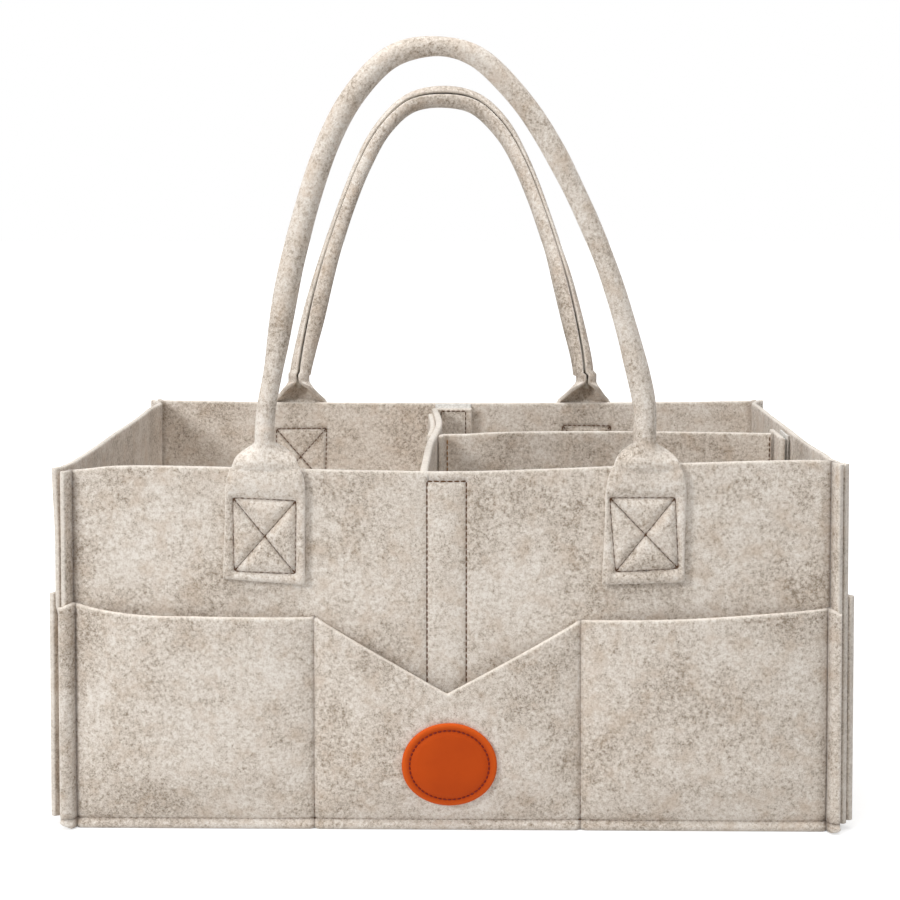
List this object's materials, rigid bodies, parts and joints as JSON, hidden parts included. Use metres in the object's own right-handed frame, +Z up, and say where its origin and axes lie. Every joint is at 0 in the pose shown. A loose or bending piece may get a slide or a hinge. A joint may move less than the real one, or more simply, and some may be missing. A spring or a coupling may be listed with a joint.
{
  "type": "diaper caddy",
  "caption": "Rectangular felt caddy with sewn pockets all round, two rolled carrying handles, and a lift-out divider insert held by hook and loop strips.",
  "frame": {"origin": "centre of the base panel's underside, on the surface that the caddy stands on", "axes": "+X along the front to the right, +Y to the back, +Z up"},
  "size_m": [0.3924, 0.3148, 0.3799],
  "materials": {
    "felt": "mottled oatmeal wool-look felt",
    "leather": "smooth orange-brown leather",
    "tape": "off-white hook and loop tape",
    "core": "twisted cotton cord"
  },
  "bodies": {
    "caddy_body": {"front_panel": "felt", "back_panel": "felt", "left_end_panel": "felt", "right_end_panel": "felt", "base_panel": "felt", "front_pocket_panel": "felt", "back_pocket_panel": "felt", "left_pocket_panel": "felt", "right_pocket_panel": "felt", "badge": "leather", "front_loop_strip": "tape", "back_loop_strip": "tape", "right_loop_strip": "tape", "front_left_handle_tab": "felt", "front_right_handle_tab": "felt", "back_left_handle_tab": "felt", "back_right_handle_tab": "felt", "front_left_core_end": "core", "front_right_core_end": "core", "back_left_core_end": "core", "back_right_core_end": "core"},
    "front_handle": {"front_handle_grip": "felt", "front_handle_core": "core"},
    "back_handle": {"back_handle_grip": "felt", "back_handle_core": "core"},
    "divider_insert": {"cross_divider": "felt", "long_divider": "felt", "rear_divider_layer": "felt", "right_flange_panel": "felt", "front_hook_strip": "tape", "back_hook_strip": "tape", "right_hook_strip": "tape"}
  },
  "joints": [
    {"name": "front_handle_swing", "type": "hinge", "parent": "caddy_body", "child": "front_handle", "pos_m": [0, -0.12095, 0.196], "axis": [1, 0, 0], "range_deg": [-24, 95]},
    {"name": "back_handle_swing", "type": "hinge", "parent": "caddy_body", "child": "back_handle", "pos_m": [0, 0.12095, 0.196], "axis": [-1, 0, 0], "range_deg": [-41.5, 77.5]},
    {"name": "divider_lift", "type": "slide", "parent": "caddy_body", "child": "divider_insert", "axis": [0, 0, 1], "range_m": [0, 0.176]}
  ]
}
